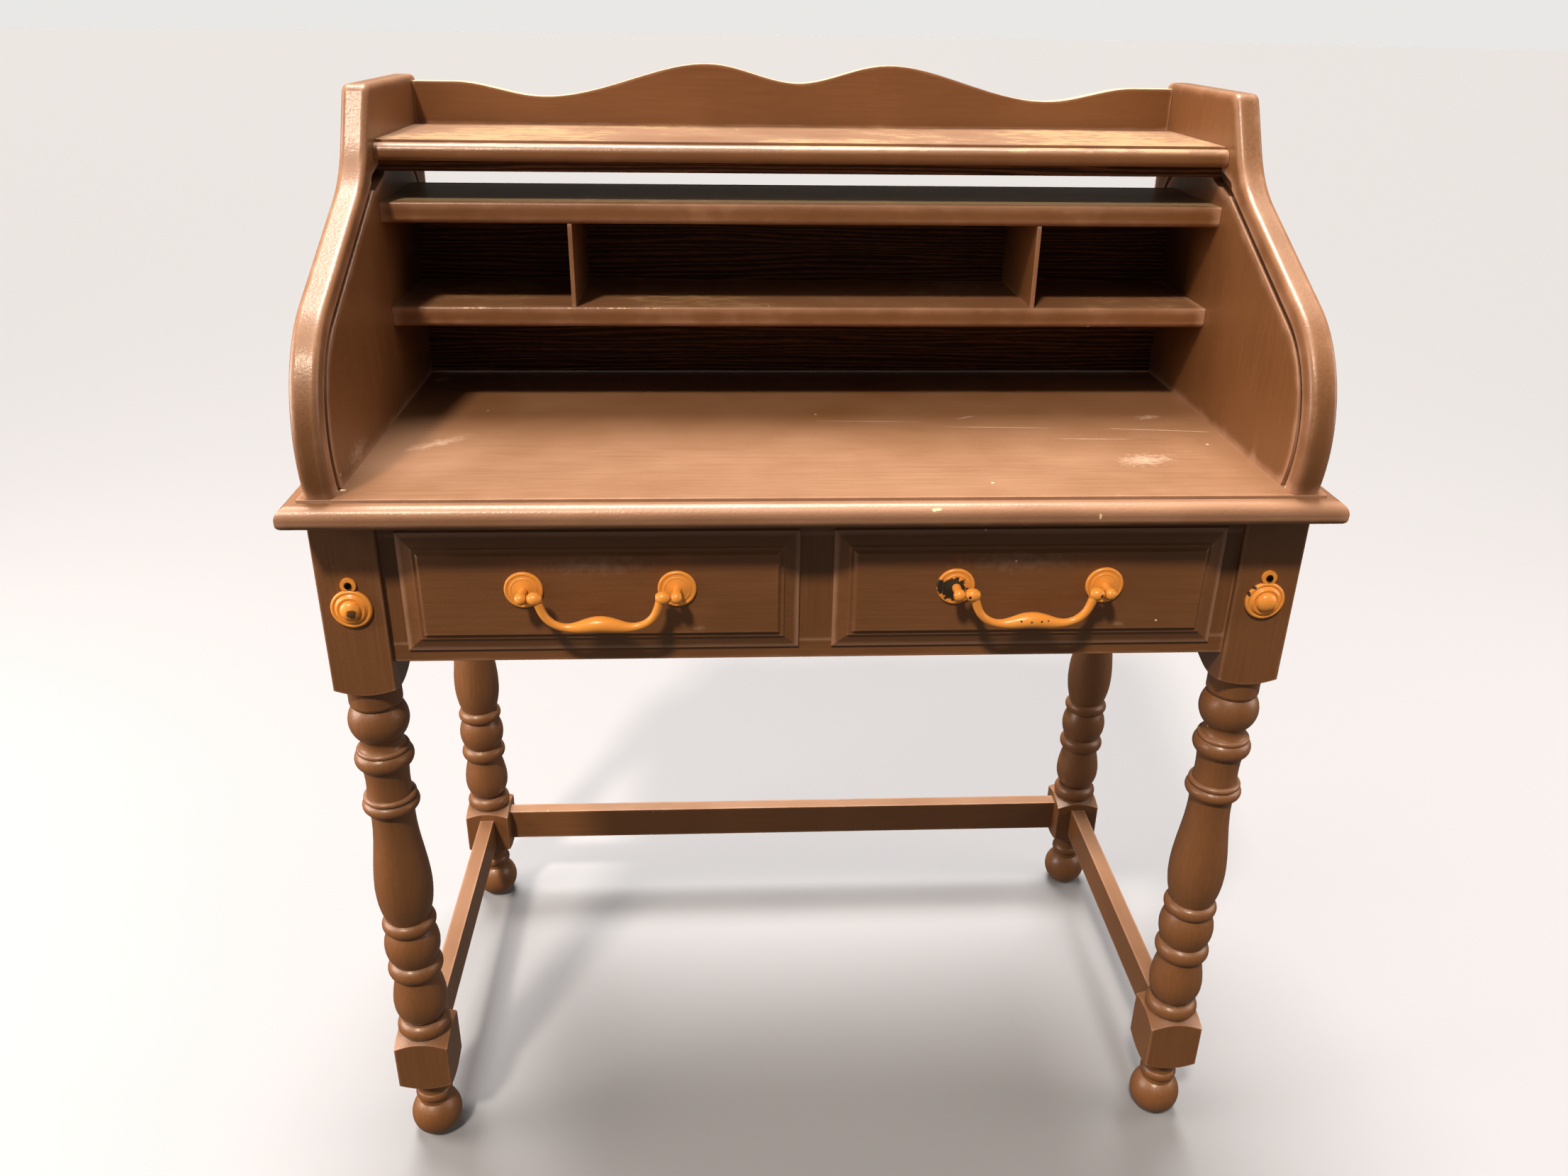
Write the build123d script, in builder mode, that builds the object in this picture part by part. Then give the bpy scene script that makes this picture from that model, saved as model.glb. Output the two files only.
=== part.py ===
from build123d import *
import os
from math import cos, radians, sin, tan

# Roll top desk: a turned-leg table with two drawers and an open hutch of pigeonholes.
# Millimetres. Origin on the floor under the middle of the top. +X to the sitter's right,
# +Y to the back, +Z up.

os.makedirs("parts", exist_ok=True)

# ---- driving dimensions ----
desk_width = 889.0
desk_depth = 508.0
writing_height = 773.0
top_thickness = 22.0
board = 19.0
post = 56.0
post_inset_side = 10.0
post_inset_front = 42.0
post_inset_back = 2.0
drawer_face_height = 114.0
drawer_face_bottom = 617.0
hutch_inner_width = 800.0
hutch_panel = 24.0
hutch_height = 300.0
handle_boring = 133.0

# ---- worked out from them ----
half_w = desk_width / 2
y_front = -desk_depth / 2
y_back = desk_depth / 2
top_underside = writing_height - top_thickness
post_x = half_w - post_inset_side - post / 2
post_y_front = y_front + post_inset_front + post / 2
post_y_back = y_back - post_inset_back - post / 2
post_face = post_y_front - post / 2
between_posts = post_x - post / 2

# face frame, set back a little from the posts
frame_face = post_face + 6
rail_bottom_z = 605.0
rail_thick = 18.0
frame_rail_depth = 40.0
top_rail_z = 727.0
stile_half = 23.0

# drawers
drawer_lip = 8.0
drawer_gap = 2.0
opening_inner = stile_half
opening_outer = between_posts - stile_half
drawer_center = (opening_inner + opening_outer) / 2
drawer_box_half = (opening_outer - opening_inner) / 2 - drawer_gap
face_half = (opening_outer - opening_inner) / 2 + drawer_lip
drawer_floor_z = 625.0
drawer_top_z = 716.0
lip_back = frame_face
face_plane = lip_back - 11
box_front = lip_back + 10
box_back = 180.0
side_wall = 12.0
bottom_sheet = 5.0
bottom_z = drawer_floor_z + 8
groove_in = 6.0

# aprons
apron_thick = 20.0
apron_z = 616.0
apron_y_front = post_y_front + post / 2
apron_y_back = post_y_back - post / 2

# lower frame
stretcher_z = 95.0
stretcher_height = 42.0
stretcher_thick = 18.0
tenon = 15.0
tenon_thick = 9.0
tenon_height = 30.0

# hutch
panel_x = hutch_inner_width / 2
hutch_back = 212.0
shelf_front = 12.0
back_face = 148.0
back_sheet = 6.0
lower_shelf_z = 855.5
upper_shelf_z = 953.0
shelf_end_gap = 0.2
hutch_screw_x = panel_x + hutch_panel / 2
hutch_screw_y = (-150.0, 150.0)
divider = 4.0
divider_x = 225.0
top_board_z = 1008.0
top_board_thick = 18.0
top_board_front = 14.0
gallery_thick = 16.0

# handles and bolt covers
handle_z = 680.5
bail_y = face_plane - 19
rosette_r = 17.0
bolt_z = 661.5
cover_pin_z = 684.3
cover_r = 18.0
cover_gap = 0.3


def save(piece, name):
    """Names a finished piece and writes its STEP file."""
    piece.label = name
    export_step(piece, f"parts/{name}.step")


def box_between(x0, x1, y0, y1, z0, z1):
    """A plain board between two corners."""
    with BuildPart() as piece:
        with BuildSketch(Plane.XY.offset(z0)):
            with Locations(((x0 + x1) / 2, (y0 + y1) / 2)):
                Rectangle(x1 - x0, y1 - y0)
        extrude(amount=z1 - z0)
    return piece.part


# ---------------------------------------------------------------- table top
nose = 15.0
quirk = 2.5
nose_arc = 10.0
under_arc = 6.0


def nosing_line(edge, direction, z_top, thick, round_over, nose):
    """The moulded edge from the quirk line on top, round the nose, to the underside."""
    inward = -direction
    z_low = z_top - thick
    z_mid = z_top - quirk - round_over
    Line((edge + inward * nose, z_top), (edge + inward * nose, z_top - quirk))
    Line((edge + inward * nose, z_top - quirk), (edge + inward * round_over, z_top - quirk))
    RadiusArc(
        (edge + inward * round_over, z_top - quirk), (edge, z_mid), direction * round_over
    )
    Line((edge, z_mid), (edge, z_low + under_arc))
    RadiusArc((edge, z_low + under_arc), (edge + inward * under_arc, z_low), direction * under_arc)


with BuildPart() as desk_top:
    # cross-section through the length, moulded at both ends
    with BuildSketch(Plane.XZ.offset(-y_back)):
        with BuildLine():
            nosing_line(-half_w, -1, writing_height, top_thickness, nose_arc, nose)
            Line((-half_w + under_arc, top_underside), (half_w - under_arc, top_underside))
            nosing_line(half_w, 1, writing_height, top_thickness, nose_arc, nose)
            Line((half_w - nose, writing_height), (-half_w + nose, writing_height))
        make_face()
    extrude(amount=desk_depth)
    # cross-section through the depth, moulded at the front only
    with BuildSketch(Plane.YZ.offset(-half_w)):
        with BuildLine():
            nosing_line(y_front, -1, writing_height, top_thickness, nose_arc, nose)
            Line((y_front + under_arc, top_underside), (y_back, top_underside))
            Line((y_back, top_underside), (y_back, writing_height))
            Line((y_back, writing_height), (y_front + nose, writing_height))
        make_face()
    extrude(amount=desk_width, mode=Mode.INTERSECT)
    # countersunk holes for the screws that hold the hutch down from below
    for x in (-hutch_screw_x, hutch_screw_x):
        for y in hutch_screw_y:
            with Locations(Location((x, y, top_underside), (180, 0, 0))):
                CounterSinkHole(2.5, 4.6, depth=top_thickness)
save(desk_top.part, "desk_top")


# ---------------------------------------------------------------- legs
corner_r = post * 0.73


def leg_outline():
    """Half outline of the turning, floor to top. The square blocks are wider than the stock here
    and are cut flat afterwards, which leaves the curved shoulders."""
    foot_flat = 10.2
    ThreePointArc((foot_flat, 0), (27, 25), (17, 46))
    Line((17, 46), (16.5, 51))
    ThreePointArc((16.5, 51), (19.5, 56.5), (17, 62))
    ThreePointArc((17, 62), (16.4, 70), (22, 79))
    Line((22, 79), (24, 82.3))
    Line((24, 82.3), (corner_r, 90.6))
    Line((corner_r, 90.6), (corner_r, 139.7))
    Line((corner_r, 139.7), (24, 149))
    ThreePointArc((24, 149), (27.3, 157), (22, 165.5))
    # long ball, fuller toward its foot
    Line((22, 165.5), (19, 166.5))
    Spline((19, 166.5), (26.6, 181), (27.2, 197), (22, 224.5))
    ThreePointArc((22, 224.5), (28, 234.5), (22.4, 244))
    ThreePointArc((22.4, 244), (28, 263), (22.4, 284.5))
    ThreePointArc((22.4, 284.5), (27, 292.5), (22, 300))
    # vase
    Spline((22, 300), (27.8, 328), (23.2, 390), (21.2, 432.5))
    ThreePointArc((21.2, 432.5), (27.2, 439.5), (23.6, 445.4))
    ThreePointArc((23.6, 445.4), (25.2, 448), (21.3, 451))
    ThreePointArc((21.3, 451), (20.7, 464), (22, 482.5))
    ThreePointArc((22, 482.5), (27.7, 491), (24, 499.8))
    ThreePointArc((24, 499.8), (24.6, 502.5), (22, 504.5))
    ThreePointArc((22, 504.5), (19.8, 510), (21, 516))
    ThreePointArc((21, 516), (28, 534), (22, 550.5))
    ThreePointArc((22, 550.5), (23.8, 552.5), (24.4, 556))
    Line((24.4, 556), (24.5, 571.3))
    Line((24.5, 571.3), (corner_r, 579.3))
    Line((corner_r, 579.3), (corner_r, top_underside))
    Line((corner_r, top_underside), (0, top_underside))
    Line((0, top_underside), (0, 0))
    Line((0, 0), (foot_flat, 0))


with BuildPart() as turned_leg:
    with BuildSketch(Plane.XZ):
        with BuildLine():
            leg_outline()
        make_face()
    revolve(axis=Axis.Z)
    # the square stock, edges just eased
    with BuildSketch(Plane.XY):
        RectangleRounded(post, post, 1.5)
    extrude(amount=top_underside, mode=Mode.INTERSECT)

bolt_r = 4.0
bolt_hole_r = 4.2
counterbore_r = 11.0
counterbore_deep = 14.0
cover_pin_r = 2.0
cover_pin_deep = 14.0
mortise_z = stretcher_z + stretcher_height / 2


def make_leg(side, front):
    """One leg in place: mortises for the stretchers, and the leg bolt's hole in a front post."""
    y = post_y_front if front else post_y_back
    toward_middle = 1 if front else -1
    with BuildPart() as leg:
        add(turned_leg.part)
        with Locations((0, toward_middle * (post / 2 - tenon / 2), mortise_z)):
            Box(tenon_thick, tenon, tenon_height, mode=Mode.SUBTRACT)
        if front:
            with Locations(Location((0, -post / 2, bolt_z), (90, 0, 0))):
                CounterBoreHole(bolt_hole_r, counterbore_r, counterbore_deep, depth=post)
            with Locations(Location((0, -post / 2, cover_pin_z), (90, 0, 0))):
                Hole(cover_pin_r, depth=cover_pin_deep)
        else:
            with Locations((-side * (post / 2 - tenon / 2), 0, mortise_z)):
                Box(tenon, tenon_thick, tenon_height, mode=Mode.SUBTRACT)
    return leg.part.moved(Location((side * post_x, y, 0)))


for side, side_name in ((-1, "left"), (1, "right")):
    save(make_leg(side, True), f"leg_front_{side_name}")
    save(make_leg(side, False), f"leg_rear_{side_name}")

# ---------------------------------------------------------------- stretchers
with BuildPart() as stretcher_rear:
    with Locations((0, post_y_back, mortise_z)):
        Box(2 * between_posts, stretcher_thick, stretcher_height)
        Box(2 * (between_posts + tenon), tenon_thick, tenon_height)
save(stretcher_rear.part, "stretcher_rear")

span_y = apron_y_back - apron_y_front
mid_y = (apron_y_back + apron_y_front) / 2
for side, side_name in ((-1, "left"), (1, "right")):
    with BuildPart() as stretcher_side:
        with Locations((side * post_x, mid_y, mortise_z)):
            Box(stretcher_thick, span_y, stretcher_height)
            Box(tenon_thick, span_y + 2 * tenon, tenon_height)
    save(stretcher_side.part, f"stretcher_{side_name}")

# ---------------------------------------------------------------- aprons, leg bolts
bolt_reach = 48.0
nut_r = 6.0
nut_from_end = 38.0
nut_y = apron_y_front + nut_from_end

for side, side_name in ((-1, "left"), (1, "right")):
    with BuildPart() as apron:
        with Locations((side * post_x, mid_y, (apron_z + top_underside) / 2)):
            Box(apron_thick, span_y, top_underside - apron_z)
        # bolt hole in the end grain, crossed by the barrel nut's hole
        with Locations(Location((side * post_x, apron_y_front, bolt_z), (90, 0, 0))):
            Hole(bolt_hole_r, depth=bolt_reach + 4)
        with Locations(Location((side * post_x, nut_y, bolt_z), (0, 90, 0))):
            Cylinder(nut_r, apron_thick, mode=Mode.SUBTRACT)
    save(apron.part, f"apron_{side_name}")

save(
    box_between(
        -between_posts,
        between_posts,
        post_y_back - apron_thick / 2,
        post_y_back + apron_thick / 2,
        apron_z,
        top_underside,
    ),
    "apron_back",
)

head_thick = 6.0
head_y = post_face + counterbore_deep
with BuildPart() as leg_bolts:
    for side in (-1, 1):
        with BuildSketch(Plane.XZ.offset(-head_y)):
            with Locations((side * post_x, bolt_z)):
                RegularPolygon(8, 6)
        extrude(amount=head_thick)
        with BuildSketch(Plane.XZ.offset(-head_y)):
            with Locations((side * post_x, bolt_z)):
                Circle(bolt_r)
        extrude(amount=-(post - counterbore_deep + bolt_reach))
save(leg_bolts.part, "leg_bolts")

with BuildPart() as barrel_nuts:
    for side in (-1, 1):
        with Locations(Location((side * post_x, nut_y, bolt_z), (0, 90, 0))):
            Cylinder(nut_r, apron_thick - 4)
        with Locations(Location((side * post_x, nut_y, bolt_z), (90, 0, 0))):
            Cylinder(bolt_r + 0.05, 4 * nut_r, mode=Mode.SUBTRACT)
save(barrel_nuts.part, "barrel_nuts")

# ---------------------------------------------------------------- face frame and drawer runners
rail_top = rail_bottom_z + rail_thick
save(
    box_between(-between_posts, between_posts, frame_face, frame_face + board, top_rail_z, top_underside),
    "rail_top",
)
rail_back = frame_face + frame_rail_depth
save(
    box_between(-between_posts, between_posts, frame_face, rail_back, rail_bottom_z, rail_top),
    "rail_bottom",
)
for x, stile_name in (
    (-between_posts + stile_half / 2, "stile_left"),
    (0.0, "stile_center"),
    (between_posts - stile_half / 2, "stile_right"),
):
    half = stile_half if x == 0 else stile_half / 2
    save(
        box_between(x - half, x + half, frame_face, frame_face + board, rail_top, top_rail_z),
        stile_name,
    )

runner_front = rail_back
runner_back = post_y_back - apron_thick / 2
runner_ledge = 22.0
guide_height = 24.0


def runner(guide_left, guide_right, ledge_left, ledge_right):
    """A drawer runner: a flat strip with an upright guide along it."""
    with BuildPart() as piece:
        with BuildSketch(Plane.XZ.offset(-runner_front)):
            x0 = guide_left - ledge_left
            x1 = guide_right + ledge_right
            with Locations(((x0 + x1) / 2, (rail_bottom_z + drawer_floor_z) / 2)):
                Rectangle(x1 - x0, drawer_floor_z - rail_bottom_z)
            with Locations(((guide_left + guide_right) / 2, drawer_floor_z + guide_height / 2)):
                Rectangle(guide_right - guide_left, guide_height)
        extrude(amount=-(runner_back - runner_front))
    return piece.part


save(runner(-between_posts, -opening_outer, 0, runner_ledge), "runner_left")
save(runner(-opening_inner, opening_inner, runner_ledge, runner_ledge), "runner_center")
save(runner(opening_outer, between_posts, runner_ledge, 0), "runner_right")

kicker_half = 15.0
kicker_z = drawer_top_z + 5
for side, side_name in ((-1, "left"), (1, "right")):
    x = side * drawer_center
    save(
        box_between(
            x - kicker_half, x + kicker_half, frame_face + board, runner_back, kicker_z, top_underside
        ),
        f"kicker_{side_name}",
    )

# ---------------------------------------------------------------- drawers
face_z0 = drawer_face_bottom
face_z1 = drawer_face_bottom + drawer_face_height
face_mid_z = (face_z0 + face_z1) / 2
bevel = 13.0
bevel_rise = 4.5
bead = 1.0
bead_rise = 1.5
ledge = 3.0
field_slope = 2.5
field_rise = 3.0
post_thread_r = 2.25


def face_outline(x, y, inset):
    """The drawer face's outline in the plane at y, drawn in by inset all round."""
    with BuildSketch(Plane.XZ.offset(-y)) as outline:
        with Locations((x, face_mid_z)):
            Rectangle(2 * (face_half - inset), drawer_face_height - 2 * inset)
    return outline.sketch


def drawer_front(side):
    """Lipped front: a wide bevel, a narrow ledge and a raised flat field, each a step prouder."""
    x = side * drawer_center
    ledge_plane = face_plane + field_rise
    bevel_plane = ledge_plane + bead_rise
    edge_plane = bevel_plane + bevel_rise
    ledge_inset = bevel + bead
    field_foot = ledge_inset + ledge
    with BuildPart() as front:
        extrude(face_outline(x, lip_back, 0), amount=lip_back - edge_plane)
        # bevel, bead and field, each a sloping band up to the next level
        for y0, inset0, y1, inset1 in (
            (edge_plane, 0, bevel_plane, bevel),
            (bevel_plane, bevel, ledge_plane, ledge_inset),
            (ledge_plane, field_foot, face_plane, field_foot + field_slope),
        ):
            loft([face_outline(x, y0, inset0), face_outline(x, y1, inset1)])
        # body that fills the opening
        with BuildSketch(Plane.XZ.offset(-lip_back)):
            with Locations((x, (drawer_floor_z + drawer_top_z) / 2)):
                Rectangle(2 * drawer_box_half, drawer_top_z - drawer_floor_z)
        extrude(amount=-(box_front - lip_back))
        # groove for the drawer bottom
        with Locations((x, box_front - groove_in / 2, bottom_z + bottom_sheet / 2)):
            Box(
                2 * (drawer_box_half - side_wall + groove_in),
                groove_in,
                bottom_sheet,
                mode=Mode.SUBTRACT,
            )
        for post_side in (-1, 1):
            hole_x = x + post_side * handle_boring / 2
            with Locations(Location((hole_x, face_plane, handle_z), (90, 0, 0))):
                Hole(post_thread_r + 0.1, depth=box_front - face_plane)
    return front.part


def drawer_side(x_outer, inward):
    """One side of the drawer box, with the bottom's groove on its inner face."""
    with BuildPart() as wall:
        mid_y_side = (box_front + box_back) / 2
        with Locations((x_outer + inward * side_wall / 2, mid_y_side, (drawer_floor_z + drawer_top_z) / 2)):
            Box(side_wall, box_back - box_front, drawer_top_z - drawer_floor_z)
        groove_x = x_outer + inward * (side_wall - groove_in / 2)
        with Locations((groove_x, mid_y_side, bottom_z + bottom_sheet / 2)):
            Box(groove_in, box_back - box_front, bottom_sheet, mode=Mode.SUBTRACT)
    return wall.part


for side, side_name in ((-1, "left"), (1, "right")):
    x = side * drawer_center
    inner_half = drawer_box_half - side_wall
    prefix = f"drawer_{side_name}"
    save(drawer_front(side), f"{prefix}_front")
    save(drawer_side(x - drawer_box_half, 1), f"{prefix}_side_a")
    save(drawer_side(x + drawer_box_half, -1), f"{prefix}_side_b")
    save(
        box_between(
            x - inner_half, x + inner_half, box_back - side_wall, box_back,
            bottom_z + bottom_sheet, drawer_top_z,
        ),
        f"{prefix}_back",
    )
    save(
        box_between(
            x - inner_half - groove_in, x + inner_half + groove_in, box_front - groove_in, box_back,
            bottom_z, bottom_z + bottom_sheet,
        ),
        f"{prefix}_bottom",
    )

# ---------------------------------------------------------------- swan-neck handles
eye_r = 5.5
eye_half = 4.5
pin_r = 1.9
pin_hole_r = 1.95
stem_r = 4.0
fit = 0.05
rim_height = 2.3
rim_wide = 3.0
rim_inner = rosette_r - rim_wide
ring_r = 12.0
dome_height = 4.2
eye_lip = 3.4
nut_height = 4.0


def rosette_outline():
    """Half outline of the backplate: a low rim, one fine ring and a gentle dome to the stem."""
    bore = stem_r + fit
    Polyline((bore, 0), (rosette_r, 0), (rosette_r, rim_height / 2))
    ThreePointArc(
        (rosette_r, rim_height / 2), (rosette_r - rim_wide / 3, rim_height), (rim_inner, rim_height - 0.3)
    )
    Line((rim_inner, rim_height - 0.3), (ring_r, rim_height))
    ThreePointArc((ring_r, rim_height), (ring_r - 0.8, rim_height + 0.6), (ring_r - 1.6, rim_height + 0.4))
    Line((ring_r - 1.6, rim_height + 0.4), (bore, dome_height))
    Line((bore, dome_height), (bore, 0))


def lying_plane(x, y, z):
    """A plane whose X is the desk's X and whose Y points out of the drawer's face."""
    return Plane(origin=(x, y, z), x_dir=(1, 0, 0), z_dir=(0, 0, -1))


def rosettes(x):
    """The two round backplates of one handle."""
    with BuildPart() as pair:
        for post_side in (-1, 1):
            cx = x + post_side * handle_boring / 2
            plane = lying_plane(cx, face_plane, handle_z)
            with BuildSketch(plane):
                with BuildLine():
                    rosette_outline()
                make_face()
            revolve(axis=Axis((cx, face_plane, handle_z), (0, -1, 0)))
    return pair.part


def handle_posts(x):
    """Two posts: a threaded tail through the drawer front, a stem, and an eye for the bail."""
    with BuildPart() as pair:
        for post_side in (-1, 1):
            cx = x + post_side * handle_boring / 2
            tail = box_front + nut_height + 1 - face_plane
            with Locations(Location((cx, face_plane + tail / 2, handle_z), (90, 0, 0))):
                Cylinder(post_thread_r, tail)
            stem = face_plane - bail_y - 2.5
            with Locations(Location((cx, face_plane - stem / 2, handle_z), (90, 0, 0))):
                Cylinder(stem_r, stem)
            # rounded eye, bored across for the bail's pin
            with BuildSketch(Plane.XY.offset(handle_z)):
                with BuildLine():
                    Line((cx - eye_half, bail_y - pin_hole_r), (cx - eye_half, bail_y - eye_lip))
                    ThreePointArc(
                        (cx - eye_half, bail_y - eye_lip),
                        (cx, bail_y - eye_r),
                        (cx + eye_half, bail_y - eye_lip),
                    )
                    Line((cx + eye_half, bail_y - eye_lip), (cx + eye_half, bail_y - pin_hole_r))
                    Line((cx + eye_half, bail_y - pin_hole_r), (cx - eye_half, bail_y - pin_hole_r))
                make_face()
            revolve(axis=Axis((cx, bail_y, handle_z), (1, 0, 0)))
    return pair.part


def handle_nuts(x):
    """Hexagon nuts inside the drawer, on the posts' tails."""
    with BuildPart() as pair:
        for post_side in (-1, 1):
            with BuildSketch(Plane.XZ.offset(-box_front)):
                with Locations((x + post_side * handle_boring / 2, handle_z)):
                    RegularPolygon(4.5, 6)
                    Circle(post_thread_r + 0.03, mode=Mode.SUBTRACT)
            extrude(amount=-nut_height)
    return pair.part


arm_r = 3.5
acorn_r = 6.0
acorn_lip = 2.8

acorn_long = 13.0
grip_swell = 3.8
swell_half = 0.23
grip_stations = 16


def grip_radius(at):
    """Radius of the bail at a share of its length: thin arms, a leaf-shaped middle."""
    off_middle = abs(at - 0.5)
    if off_middle < swell_half:
        return arm_r + grip_swell * cos(radians(90 * off_middle / swell_half)) ** 1.4
    return arm_r + 0.7 * ((off_middle - swell_half) / (0.5 - swell_half)) ** 2


def bail_end(x):
    """Acorn and pin at the right-hand end of a bail centred on x."""
    pin_end = x + handle_boring / 2 + eye_half + 0.5
    acorn_out = x + handle_boring / 2 - eye_half - 0.6
    acorn_in = acorn_out - acorn_long
    with BuildPart() as end:
        with BuildSketch(Plane.XY.offset(handle_z)):
            with BuildLine():
                Polyline(
                    (acorn_in, bail_y),
                    (pin_end, bail_y),
                    (pin_end, bail_y - pin_r),
                    (acorn_out, bail_y - pin_r),
                    (acorn_out, bail_y - acorn_lip),
                )
                ThreePointArc(
                    (acorn_out, bail_y - acorn_lip),
                    ((acorn_out + acorn_in) / 2, bail_y - acorn_r),
                    (acorn_in, bail_y - acorn_lip),
                )
                Line((acorn_in, bail_y - acorn_lip), (acorn_in, bail_y))
            make_face()
        revolve(axis=Axis((x, bail_y, handle_z), (1, 0, 0)))
    return end.part


def bail(x):
    """The hanging grip: pins in the posts, acorn ends, thin arms and a leaf-shaped swelling."""
    arm_top = handle_boring / 2 - 13.5
    bow = ((arm_top, 0), (50.5, -9.5), (44.5, -20.5), (30, -27.8))
    left_arm = [(x - across, handle_z + down) for across, down in bow]
    right_arm = [(x + across, handle_z + down) for across, down in reversed(bow)]
    with BuildPart() as grip:
        with BuildLine(Plane.XZ.offset(-bail_y)) as path:
            Spline(*left_arm, (x, handle_z - 25), *right_arm)
        for station in range(grip_stations + 1):
            at = station / grip_stations
            with BuildSketch(path.line ^ at):
                Circle(grip_radius(at))
        loft()
        acorn = bail_end(x)
        add(acorn)
        add(acorn.mirror(Plane.YZ.offset(x)))
    return grip.part


for side, side_name in ((-1, "left"), (1, "right")):
    x = side * drawer_center
    save(rosettes(x), f"rosettes_{side_name}")
    save(handle_posts(x), f"handle_posts_{side_name}")
    save(handle_nuts(x), f"handle_nuts_{side_name}")
    save(bail(x), f"bail_{side_name}")

# ---------------------------------------------------------------- bolt covers
loop_r = 6.8
loop_hole_r = 2.1
loop_thick = 2.4
cover_y = post_face - cover_gap
drop = cover_pin_z - bolt_z


def cover_outline():
    """Half outline of the cast cover: stepped rings round a dome."""
    Line((0, 0), (cover_r, 0))
    Line((cover_r, 0), (cover_r, 1.4))
    ThreePointArc((cover_r, 1.4), (cover_r - 1.6, 3), (cover_r - 3.4, 2.4))
    Line((cover_r - 3.4, 2.4), (13, 3.6))
    ThreePointArc((13, 3.6), (11.6, 5), (10, 4.4))
    Line((10, 4.4), (9, 4.6))
    Spline((9, 4.6), (6.4, 8.9), (0, 10.6), tangents=((0, 1), (-1, 0)))
    Line((0, 10.6), (0, 0))


for side, side_name in ((-1, "left"), (1, "right")):
    x = side * post_x
    with BuildPart() as cover:
        with BuildSketch(lying_plane(x, cover_y, bolt_z)):
            with BuildLine():
                cover_outline()
            make_face()
        revolve(axis=Axis((x, cover_y, bolt_z), (0, -1, 0)))
        # loop at the top, with a short neck down to the rim
        with BuildSketch(Plane.XZ.offset(-cover_y)):
            with Locations((x, cover_pin_z)):
                Circle(loop_r)
            with Locations((x, cover_pin_z - drop / 3)):
                Rectangle(5, drop / 2)
            with Locations((x, cover_pin_z)):
                Circle(loop_hole_r, mode=Mode.SUBTRACT)
        extrude(amount=loop_thick)
    save(cover.part, f"cover_{side_name}")

with BuildPart() as cover_pins:
    pin_head_y = cover_y - loop_thick - 0.3
    for side in (-1, 1):
        with BuildSketch(Plane.XZ.offset(-(post_face + cover_pin_deep))):
            with Locations((side * post_x, cover_pin_z)):
                Circle(cover_pin_r)
        extrude(amount=post_face + cover_pin_deep - pin_head_y)
        with BuildSketch(Plane.XZ.offset(-pin_head_y)):
            with Locations((side * post_x, cover_pin_z)):
                Circle(3.4)
        extrude(amount=1.6, taper=30)
save(cover_pins.part, "cover_pins")

# ---------------------------------------------------------------- hutch side panels
# Front edge: a big belly arc from the foot, a straight run, a hollow, a straight to the top.
belly_r = 120.0
belly_y = -124.0
belly_z = writing_height + 40
run_angle = 26.6
neck_angle = 58.5
neck_r = 110.0
corner_top_r = 12.0
panel_top = writing_height + hutch_height
top_front_y = 24.0
groove_inset = 19.0
groove_width = 7.0
groove_depth = 9.0
track_top = writing_height + 226
track_back = 190.0
track_front_bend = 60.0
track_back_bend = 68.0


def on_belly(r, angle):
    """Point of the belly arc of radius r, at an angle up from level."""
    return (belly_y - r * cos(radians(angle)), belly_z + r * sin(radians(angle)))


def meet(p, p_angle, q, q_angle):
    """Where the line through p at one slope meets the line through q at another."""
    tp = tan(radians(p_angle))
    tq = tan(radians(q_angle))
    y = (q[1] - p[1] + tp * p[0] - tq * q[0]) / (tp - tq)
    return (y, p[1] + tp * (y - p[0]))


def foot_of(r, z):
    """Where the belly arc of radius r passes a height near the writing surface."""
    return (belly_y - (r**2 - (belly_z - z) ** 2) ** 0.5, z)


belly_end = on_belly(belly_r, 90 - run_angle)
top_front = (top_front_y, panel_top)
knee = meet(belly_end, run_angle, top_front, neck_angle)
screw_r = 2.4
screw_head_r = 4.5
screw_up = 24.0


def track_path():
    """Centre line of the tambour's groove: up the front, under the top board, down the back."""
    r = belly_r - groove_inset
    below = writing_height - 2
    end = on_belly(r, 90 - run_angle)
    bend_at = meet(end, run_angle, (0, track_top), 0)
    trim = track_front_bend * tan(radians(run_angle / 2))
    along = (cos(radians(run_angle)), sin(radians(run_angle)))
    bend_start = (bend_at[0] - trim * along[0], bend_at[1] - trim * along[1])
    bend_end = (bend_at[0] + trim, track_top)
    back_start = (track_back - track_back_bend, track_top)
    back_end = (track_back, track_top - track_back_bend)
    ThreePointArc(foot_of(r, below), on_belly(r, 20), end)
    Line(end, bend_start)
    TangentArc(bend_start, bend_end, tangent=along)
    Line(bend_end, back_start)
    TangentArc(back_start, back_end, tangent=(1, 0))
    Line(back_end, (track_back, below))


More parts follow.
